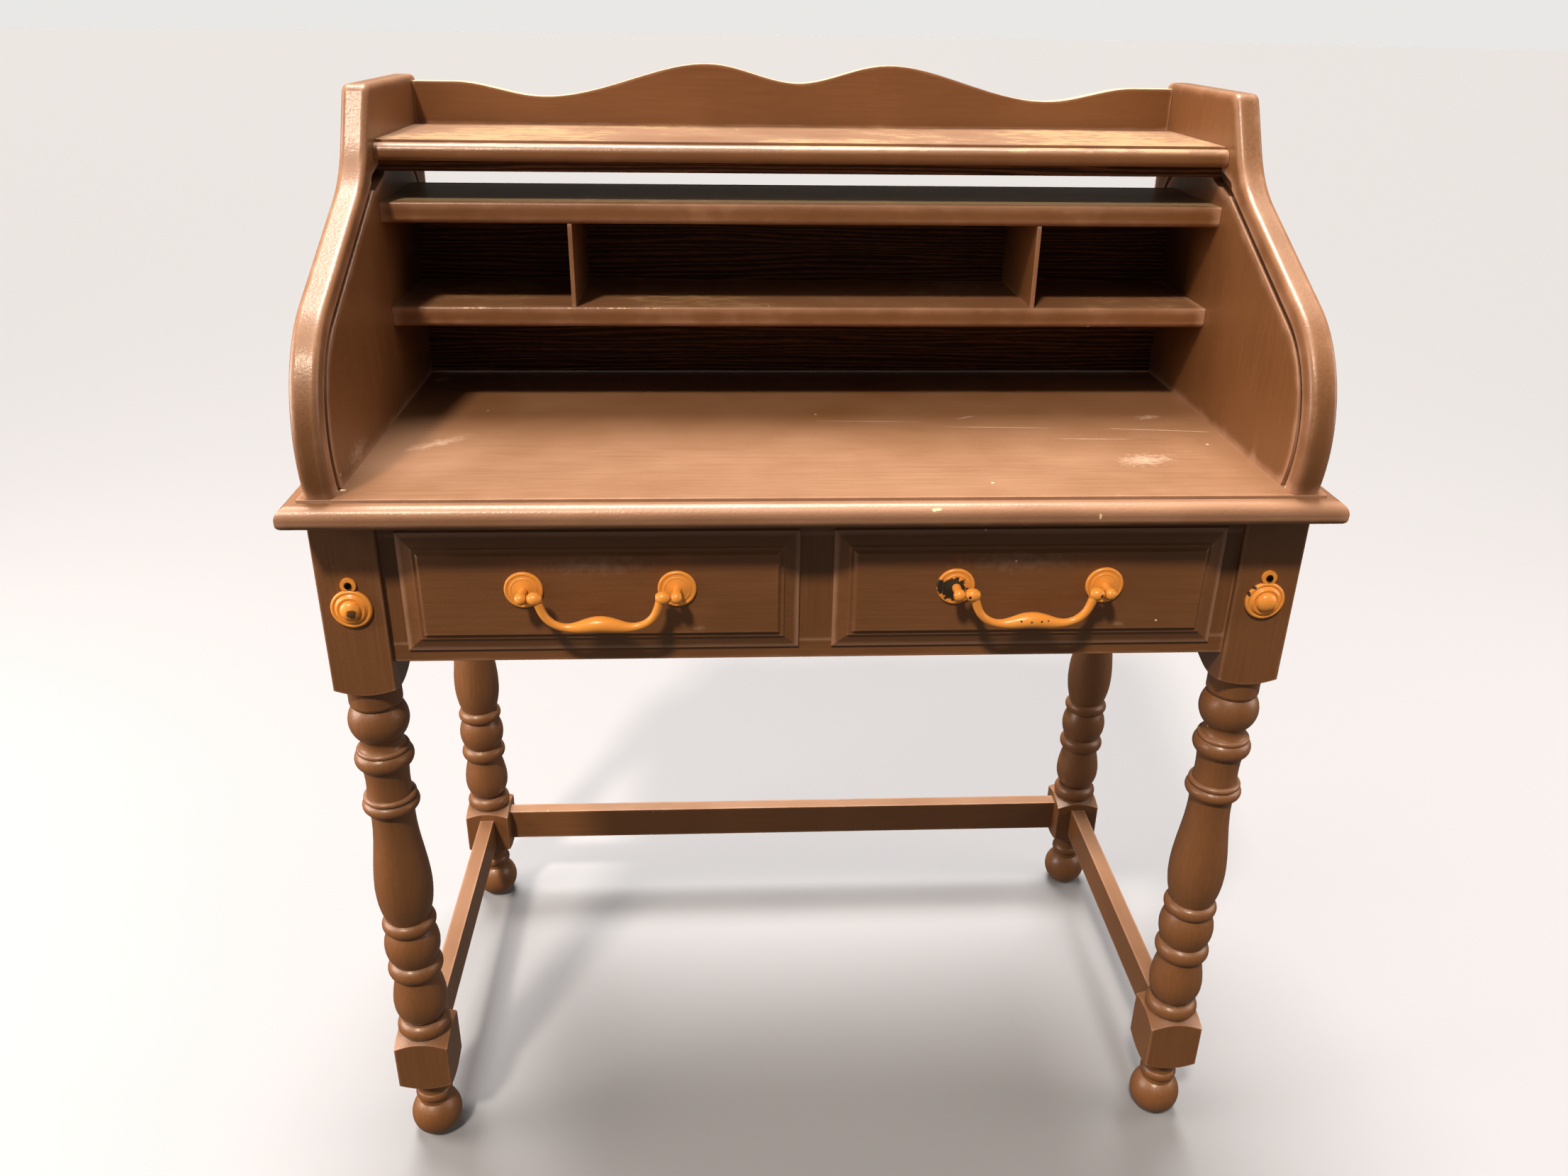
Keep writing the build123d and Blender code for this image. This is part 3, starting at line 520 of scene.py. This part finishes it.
# Zinc plated steel, rolled and cut: grey, bright, faintly brushed.
def plated_steel(name, tone):
    """Steel of that tone, with fine brush lines."""
    material, tree, shader = new_finish(name, roughness=0.35)
    shader.inputs["Metallic"].default_value = 1.0
    place = add(tree, "ShaderNodeTexCoord").outputs["Object"]
    lines = add(tree, "ShaderNodeTexNoise", {"Vector": place, "Scale": per_metre(0.5 * MM)})
    shade = add(tree, "ShaderNodeMapRange", {0: lines.outputs["Fac"], 3: 0.28, 4: 0.5})
    tint = add(
        tree,
        "ShaderNodeMix",
        {0: lines.outputs["Fac"], 6: rgba(tone), 7: rgba([c * 0.7 for c in tone])},
        data_type="RGBA",
    )
    tree.links.new(tint.outputs[2], shader.inputs["Base Color"])
    tree.links.new(shade.outputs[0], shader.inputs["Roughness"])
    return material


def rubbed_and_highlit_nose(tree, place):
    """The front of the nosing, worn pale by sleeves and given a painted highlight across it."""
    paint = bpy.context.scene.desk_paint
    normal = add(tree, "ShaderNodeTexCoord").outputs["Normal"]
    facing = add(tree, "ShaderNodeSeparateXYZ", {0: normal})
    forward = add(tree, "ShaderNodeMapRange", {0: facing.outputs["Y"], 1: -0.15, 2: -0.6})
    above = add(tree, "ShaderNodeMapRange", {0: facing.outputs["Z"], 1: -0.4, 2: 0.1})
    noise = add(tree, "ShaderNodeTexNoise", {"Vector": place, "Scale": per_metre(0.09), "Detail": 4.0})
    share = add(
        tree, "ShaderNodeMapRange", {0: noise.outputs["Fac"], 1: 0.3, 2: 0.7, 3: 0.4, 4: 0.75}
    )
    front = add(
        tree, "ShaderNodeMath", {0: forward.outputs[0], 1: above.outputs[0]}, operation="MULTIPLY"
    )
    mask = add(tree, "ShaderNodeMath", {0: front.outputs[0], 1: share.outputs[0]}, operation="MULTIPLY")
    return mask.outputs[0], rgba(paint.rubbed_and_highlight)


class DESK_OT_paint_top(bpy.types.Operator):
    """Paint the writing surface, with its scratches, scuffs and chips"""

    bl_idname = "desk.paint_top"
    bl_label = "Paint the desk top"

    def execute(self, context):
        low, high = (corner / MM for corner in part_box("desk_top"))
        level = high.z
        scratches = (
            ((185, -52, level), (60, 0.9, 4), -3, 0.3, 14.0),
            ((60, -32, level), (60, 0.8, 4), -2, 0.3, 14.0),
            ((345, -62, level), (55, 1.0, 4), -7, 0.35, 12.0),
            ((270, -88, level), (40, 0.8, 4), -2, 0.3, 12.0),
            ((160, -20, level), (12, 1.4, 4), 30, 0.3, 5.0),
        )
        chips = (
            ((408, -226, level), (3, 2, 3)),
            ((95, -252, level - 5), (5, 1.6, 3)),
            ((232, -253, level - 12), (1.3, 3, 3)),
            ((150, -205, level), (1.6, 1.2, 3)),
            ((375, -105, level), (1.6, 1.2, 3)),
            ((-398, -216, level), (3, 2.4, 3)),
        )
        scuffs = (
            ((302, -148, level), (30, 17, 5), 20, 0.5, 5.0, 1.2),
            ((345, -20, level), (16, 7, 5), 25, 0.5, 4.0, 1.0),
            ((-345, -95, level), (34, 10, 5), 40, 0.5, 5.0, 1.3),
            ((-385, 120, level), (10, 12, 5), 0, 0.4, 4.0, 0.5),
        )
        # The nose is turned pale wide: worn by sleeves, and a painted highlight across its front.
        paint = brushed_paint(
            "satin_paint_top", X, chips, scratches + scuffs, bare=rubbed_and_highlit_nose, wear_and_highlight=1.2, reach=2.5
        )
        coat_node("desk_top", paint)
        return {"FINISHED"}


class DESK_OT_paint_frame(bpy.types.Operator):
    """Paint the legs, stretchers, aprons, rails and stiles"""

    bl_idname = "desk.paint_frame"
    bl_label = "Paint the leg frame"

    def execute(self, context):
        upright = brushed_paint("satin_paint_upright", Z)
        lengthwise = brushed_paint("satin_paint_lengthwise", X)
        crosswise = brushed_paint("satin_paint_crosswise", Y)
        for end in ("front", "rear"):
            for side in SIDES:
                coat_node(f"leg_{end}_{side}", upright)
        for side in (*SIDES, "center"):
            coat_node(f"stile_{side}", upright)
        for name in ("stretcher_rear", "apron_back", "rail_top", "rail_bottom"):
            coat_node(name, lengthwise)
        for side in SIDES:
            coat_node(f"stretcher_{side}", crosswise)
            coat_node(f"apron_{side}", crosswise)
        return {"FINISHED"}


class DESK_OT_paint_drawer_fronts(bpy.types.Operator):
    """Paint the two raised drawer fronts"""

    bl_idname = "desk.paint_drawer_fronts"
    bl_label = "Paint the drawer fronts"

    def execute(self, context):
        for side in SIDES:
            low, high = (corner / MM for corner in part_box(f"drawer_{side}_front"))
            middle = (low.x + high.x) / 2
            scuffs = (
                ((middle - 10, low.y, high.z - 28), (60, 5, 9), 0, 0.6, 7.0, 1.4),
                ((middle + 85, low.y, low.z + 24), (7, 4, 3), 0, 0.4, 3.0, 0.8),
            )
            paint = brushed_paint(f"satin_paint_drawer_{side}", X, scuffs=scuffs, scuffed=0.2)
            coat_node(f"drawer_{side}_front", paint)
        return {"FINISHED"}


def worn_and_highlit_rim(tree, place):
    """The gallery's upward faces, given the undercoat colour: paint worn through by dusting there, and a
    painted highlight along the top edge.
    """
    paint = bpy.context.scene.desk_paint
    normal = add(tree, "ShaderNodeTexCoord").outputs["Normal"]
    upward = add(tree, "ShaderNodeSeparateXYZ", {0: normal})
    rim = add(tree, "ShaderNodeMapRange", {0: upward.outputs["Z"], 1: 0.5, 2: 0.9, 3: 0.0, 4: 0.8})
    return rim.outputs[0], rgba(paint.undercoat)


class DESK_OT_paint_hutch(bpy.types.Operator):
    """Paint the side panels, top board, gallery and dividers"""

    bl_idname = "desk.paint_hutch"
    bl_label = "Paint the hutch"

    def execute(self, context):
        for side, sign in (("left", -1), ("right", 1)):
            low, high = (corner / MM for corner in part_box(f"side_panel_{side}"))
            inner = high.x if sign < 0 else low.x
            chips = (
                ((inner + sign * 12, low.y + 18, low.z + 10), (4, 3, 3)),
                ((inner + sign * 2, low.y + 22, low.z + 1), (3, 3, 2)),
            )
            scuffs = (((inner, -155, low.z + 12), (5, 30, 9), 0, 0.6, 4.0, 1.2),) if sign < 0 else ()
            # The panels' front round-overs are turned pale wide and strong: worn paint and a painted
            # highlight.
            coat_node(
                f"side_panel_{side}",
                brushed_paint(f"satin_paint_panel_{side}", Z, chips, scuffs, wear_and_highlight=1.5, reach=3.0),
            )
        # The top board gets twice the pale cover on its top: dust and a painted sheen.
        coat_node(
            "top_board",
            brushed_paint("satin_paint_top_board", X, rubbed_top=0.55, reach=2.0, dust_and_sheen_amount=2.0),
        )
        # The gallery's top edge turns cream and its arrises pale: worn paint and a painted highlight.
        coat_node("gallery_rail", brushed_paint("satin_paint_gallery", X, bare=worn_and_highlit_rim, wear_and_highlight=1.3))
        divider = brushed_paint("satin_paint_divider", Z)
        for side in SIDES:
            coat_node(f"divider_{side}", divider)
        return {"FINISHED"}


def behind_the_brush(tree, place):
    """The stretch of shelf behind the painted front lip, and its dull varnish."""
    timber = bpy.context.scene.desk_timber
    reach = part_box("upper_shelf")[0].y + 14 * MM
    back = add(tree, "ShaderNodeSeparateXYZ", {0: place})
    noise = add(tree, "ShaderNodeTexNoise", {"Vector": place, "Scale": per_metre(0.012), "Detail": 4.0})
    ragged = add(
        tree,
        "ShaderNodeMath",
        {0: noise.outputs["Fac"], 1: 0.012, 2: back.outputs["Y"]},
        operation="MULTIPLY_ADD",
    )
    mask = add(tree, "ShaderNodeMapRange", {0: ragged.outputs[0], 1: reach, 2: reach + 4 * MM})
    smears = add(
        tree,
        "ShaderNodeTexNoise",
        {"Vector": place, "Scale": per_metre(0.05), "Detail": 6.0, "Distortion": 1.5},
    )
    pale = add(tree, "ShaderNodeMapRange", {0: smears.outputs["Fac"], 1: 0.55, 2: 0.75, 4: 0.5})
    worn = add(
        tree,
        "ShaderNodeMix",
        {0: pale.outputs[0], 6: rgba(timber.dull), 7: rgba([c * 1.6 for c in timber.dull])},
        data_type="RGBA",
    )
    return mask.outputs[0], worn.outputs[2]


class DESK_OT_finish_shelves(bpy.types.Operator):
    """Paint the shelves' front lips, and leave the rest as it was found"""

    bl_idname = "desk.finish_shelves"
    bl_label = "Finish the shelves"

    def execute(self, context):
        low, high = (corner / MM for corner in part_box("lower_shelf"))
        arris_chips = (
            ((-330, low.y, high.z), (40, 0.9, 1.0), 0, 0.5),
            ((-190, low.y, high.z), (70, 0.8, 1.0), 0, 0.5),
        )
        coat_node(
            "lower_shelf",
            brushed_paint("satin_paint_shelf", X, arris_chips, rubbed_top=0.3, wear_and_highlight=1.5, reach=3.0),
        )
        coat_node(
            "upper_shelf",
            brushed_paint("satin_paint_shelf_lip", X, bare=behind_the_brush, wear_and_highlight=1.5, reach=3.0),
        )
        timber = context.scene.desk_timber
        batten = planed_timber(
            "stained_oak_batten", X, timber.stain_dark, timber.stain_light, timber.grain_width
        )
        coat_node("top_board_batten", batten)
        return {"FINISHED"}


class DESK_OT_stain_back_panel(bpy.types.Operator):
    """Stain the oak back panel behind the pigeonholes"""

    bl_idname = "desk.stain_back_panel"
    bl_label = "Stain the back panel"

    def execute(self, context):
        timber = context.scene.desk_timber
        oak = planed_timber(
            "stained_oak", X, timber.stain_dark, timber.stain_light, timber.grain_width
        )
        coat_node("back_panel", oak)
        return {"FINISHED"}


class DESK_OT_leave_bare_wood(bpy.types.Operator):
    """Leave the drawer boxes, runners, kickers and glue blocks as bare wood"""

    bl_idname = "desk.leave_bare_wood"
    bl_label = "Leave the hidden wood bare"

    def execute(self, context):
        timber = context.scene.desk_timber
        width = timber.grain_width
        fore_and_aft = planed_timber("bare_sapwood_deep", Y, timber.pale_dark, timber.pale, width)
        across = planed_timber("bare_sapwood_wide", X, timber.pale_dark, timber.pale, width)
        block = planed_timber(
            "shellacked_block", X, timber.block, [c * 1.4 for c in timber.block], width
        )
        for side in SIDES:
            for part in ("side_a", "side_b"):
                coat_node(f"drawer_{side}_{part}", fore_and_aft)
            for part in ("back", "bottom"):
                coat_node(f"drawer_{side}_{part}", across)
        for side in (*SIDES, "center"):
            coat_node(f"runner_{side}", fore_and_aft)
        for side in SIDES:
            coat_node(f"kicker_{side}", fore_and_aft)
        coat_node("glue_blocks", block)
        return {"FINISHED"}


class DESK_OT_enamel_hardware(bpy.types.Operator):
    """Enamel the handles and bolt covers orange, with their chips"""

    bl_idname = "desk.enamel_hardware"
    bl_label = "Enamel the hardware"

    def execute(self, context):
        plain = enamelled_brass("orange_enamel")
        for name in ("rosettes_left", "handle_posts_left", "bail_left"):
            coat_node(name, plain)
        low, high = (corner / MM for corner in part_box("rosettes_right"))
        post_x = low.x + ROSETTE_RADIUS
        middle_z = (low.z + high.z) / 2
        around_post = (
            ((post_x - 2, low.y, middle_z - 2), (12.5, 9, 11.5), 0, 0.3, 4.0, 0.12),
            ((post_x - 14, low.y, middle_z + 1), (4, 9, 8), 0, 0.3, 3.0, 0.12),
        )
        coat_node("rosettes_right", enamelled_brass("orange_enamel_chipped_rose", around_post))
        tips = (
            ((post_x, low.y - 9, middle_z), (2.2, 4, 2.2), 0, 0.4, 1.5, 0.2),
            ((high.x - ROSETTE_RADIUS, low.y - 9, middle_z), (2.0, 4, 2.0), 0, 0.4, 1.5, 0.2),
        )
        coat_node("handle_posts_right", enamelled_brass("orange_enamel_worn_posts", tips))
        low, high = (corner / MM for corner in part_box("bail_right"))
        middle_x = (low.x + high.x) / 2
        pits = [
            ((middle_x + offset, low.y, low.z + 9 + abs(offset) * 0.05), (1.1, 5, 1.1), 0, 0.2, 1.0, 0.3)
            for offset in (-20, -11, -2, 7, 13)
        ]
        ends = [
            ((middle_x + reach, low.y + 2, high.z - 6), (1.6, 4, 1.8), 0, 0.3, 1.5, 0.3)
            for reach in (-58, 58)
        ]
        coat_node("bail_right", enamelled_brass("orange_enamel_pitted_bail", pits + ends))
        low, high = (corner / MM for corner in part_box("cover_left"))
        dome = ((low.x + high.x) / 2, low.y, low.z + 18)
        tip = (((dome[0] + 2, dome[1], dome[2] - 1), (4.5, 5, 4.5), 0, 0.35, 2.0, 0.15),)
        coat_node("cover_left", enamelled_brass("orange_enamel_chipped_dome", fresh=tip))
        low, high = (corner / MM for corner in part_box("cover_right"))
        rim_x = (low.x + high.x) / 2
        rim = (
            ((rim_x - 12, high.y - 2, low.z + 31), (2.2, 4, 1.6), 0, 0.3, 1.5, 0.2),
            ((rim_x - 16, high.y - 2, low.z + 25), (1.4, 4, 2.4), 0, 0.3, 1.5, 0.2),
        )
        coat_node("cover_right", enamelled_brass("orange_enamel_chipped_rim", rim))
        return {"FINISHED"}


class DESK_OT_plate_screws(bpy.types.Operator):
    """Plate the bolts, nuts, pins and screws"""

    bl_idname = "desk.plate_screws"
    bl_label = "Plate the hidden fasteners"

    def execute(self, context):
        hardware = context.scene.desk_hardware
        steel = plated_steel("zinc_plated_steel", hardware.steel)
        for name in ("leg_bolts", "barrel_nuts", "hutch_screws"):
            coat_node(name, steel)
        coat_node("cover_pins", plated_steel("blackened_steel", hardware.bare))
        for side in SIDES:
            coat_node(f"handle_nuts_{side}", steel)
        return {"FINISHED"}


class DESK_OT_build_stage(bpy.types.Operator):
    """Make the floor, the lamps and the camera"""

    bl_idname = "desk.build_stage"
    bl_label = "Build the stage"

    def execute(self, context):
        stage = context.scene.desk_stage
        self.lay_floor(context, stage)
        self.light_room(context, stage)
        self.raise_sun(
            context,
            "lamp_front",
            FRONT_LAMP_TOWARDS,
            FRONT_LAMP_SPREAD,
            stage.key_light,
            stage.key_tint,
        )
        self.raise_sun(
            context,
            "lamp_overhead",
            OVERHEAD_LAMP_TOWARDS,
            OVERHEAD_LAMP_SPREAD,
            stage.top_light,
            stage.top_tint,
        )
        self.hang_lamp(context, "lamp_left", LEFT_LAMP_PLACE, stage.left_power, stage.side_tint)
        self.hang_lamp(context, "lamp_right", RIGHT_LAMP_PLACE, stage.right_power, stage.side_tint)
        self.set_camera(context, stage)
        return {"FINISHED"}

    def lay_floor(self, context, stage):
        """A wide plain floor under the feet, and a pale dome far round it. Neither one throws
        light on the desk, so its undersides and fronts stay as dark as its shadows make them."""
        disc = bmesh.new()
        bmesh.ops.create_circle(disc, cap_ends=True, segments=96, radius=FLOOR_RADIUS)
        material, tree, shader = new_finish("matt_floor", roughness=0.9)
        shader.inputs["Base Color"].default_value = rgba(stage.floor)
        floor = self.put_on_stage(context, "studio_floor", disc, material)
        floor.visible_diffuse = False
        floor.visible_glossy = False
        ball = bmesh.new()
        bmesh.ops.create_uvsphere(ball, u_segments=48, v_segments=24, radius=BACKDROP_RADIUS)
        bmesh.ops.reverse_faces(ball, faces=ball.faces)
        backdrop = bpy.data.materials.new("pale_backdrop")
        backdrop.use_nodes = True
        backdrop.node_tree.nodes.clear()
        glow = add(
            backdrop.node_tree, "ShaderNodeEmission", {"Color": rgba(stage.backdrop), "Strength": 1.0}
        )
        add(backdrop.node_tree, "ShaderNodeOutputMaterial", {"Surface": glow.outputs[0]})
        dome = self.put_on_stage(context, "studio_backdrop", ball, backdrop)
        dome.visible_diffuse = False
        dome.visible_glossy = False
        dome.visible_shadow = False

    def put_on_stage(self, context, name, shape, material):
        """Turns a bmesh into a stage object with that material."""
        mesh = bpy.data.meshes.new(name)
        shape.to_mesh(mesh)
        shape.free()
        mesh.materials.append(material)
        piece = bpy.data.objects.new(name, mesh)
        context.scene.collection.objects.link(piece)
        return piece

    def light_room(self, context, stage):
        """Even light from all round."""
        world = bpy.data.worlds.new("studio_room")
        world.use_nodes = True
        background = world.node_tree.nodes["Background"]
        background.inputs["Color"].default_value = rgba(stage.sky)
        background.inputs["Strength"].default_value = stage.room_light
        context.scene.world = world
        context.scene.view_settings.view_transform = "Standard"

    def raise_sun(self, context, name, towards, spread, strength, tint):
        """A far lamp in a direction, as wide as spread degrees in the sky."""
        data = bpy.data.lights.new(name, "SUN")
        data.energy = strength
        data.angle = math.radians(spread)
        data.color = tint
        lamp = bpy.data.objects.new(name, data)
        lamp.matrix_world = Vector(towards).to_track_quat("Z", "Y").to_matrix().to_4x4()
        context.scene.collection.objects.link(lamp)

    def hang_lamp(self, context, name, place, power, tint):
        """A large round soft lamp at a place, facing the desk."""
        data = bpy.data.lights.new(name, "AREA")
        data.shape = "DISK"
        data.size = SIDE_LAMP_SIZE
        data.energy = power
        data.color = tint
        facing = Vector(place) - Vector(DESK_MIDDLE)
        lamp = bpy.data.objects.new(name, data)
        turn = facing.to_track_quat("Z", "Y").to_matrix().to_4x4()
        lamp.matrix_world = Matrix.Translation(place) @ turn
        context.scene.collection.objects.link(lamp)

    def set_camera(self, context, stage):
        """A camera at a standing person's eye, tilted down to the desk."""
        data = bpy.data.cameras.new("camera")
        data.sensor_width = 36.0
        data.lens = stage.lens
        camera = bpy.data.objects.new("camera", data)
        tilt = Matrix.Rotation(math.pi / 2 + stage.pitch, 4, "X")
        camera.matrix_world = (
            Matrix.Translation(stage.eye)
            @ Matrix.Rotation(stage.yaw, 4, "Z")
            @ tilt
            @ Matrix.Rotation(stage.roll, 4, "Z")
        )
        context.scene.collection.objects.link(camera)
        context.scene.camera = camera


STEPS = (
    DESK_OT_paint_top,
    DESK_OT_paint_frame,
    DESK_OT_paint_drawer_fronts,
    DESK_OT_paint_hutch,
    DESK_OT_finish_shelves,
    DESK_OT_stain_back_panel,
    DESK_OT_leave_bare_wood,
    DESK_OT_enamel_hardware,
    DESK_OT_plate_screws,
    DESK_OT_build_stage,
)


class DESK_PT_panel(bpy.types.Panel):
    """Lists the steps in the sidebar"""

    bl_idname = "DESK_PT_panel"
    bl_label = "Roll Top Desk"
    bl_space_type = "VIEW_3D"
    bl_region_type = "UI"
    bl_category = "Roll Top Desk"

    def draw(self, context):
        for step in STEPS:
            self.layout.operator(step.bl_idname)


GROUPS = {
    "desk_paint": DeskPaint,
    "desk_timber": DeskTimber,
    "desk_hardware": DeskHardware,
    "desk_stage": DeskStage,
}


def register():
    for name, group in GROUPS.items():
        bpy.utils.register_class(group)
        setattr(bpy.types.Scene, name, PointerProperty(type=group))
    for step in STEPS:
        bpy.utils.register_class(step)
    bpy.utils.register_class(DESK_PT_panel)


def unregister():
    bpy.utils.unregister_class(DESK_PT_panel)
    for step in reversed(STEPS):
        bpy.utils.unregister_class(step)
    for name, group in reversed(GROUPS.items()):
        delattr(bpy.types.Scene, name)
        bpy.utils.unregister_class(group)


def main():
    """Registers the add-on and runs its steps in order."""
    register()
    for step in STEPS:
        family, action = step.bl_idname.split(".")
        getattr(getattr(bpy.ops, family), action)()


if __name__ == "__main__":
    main()
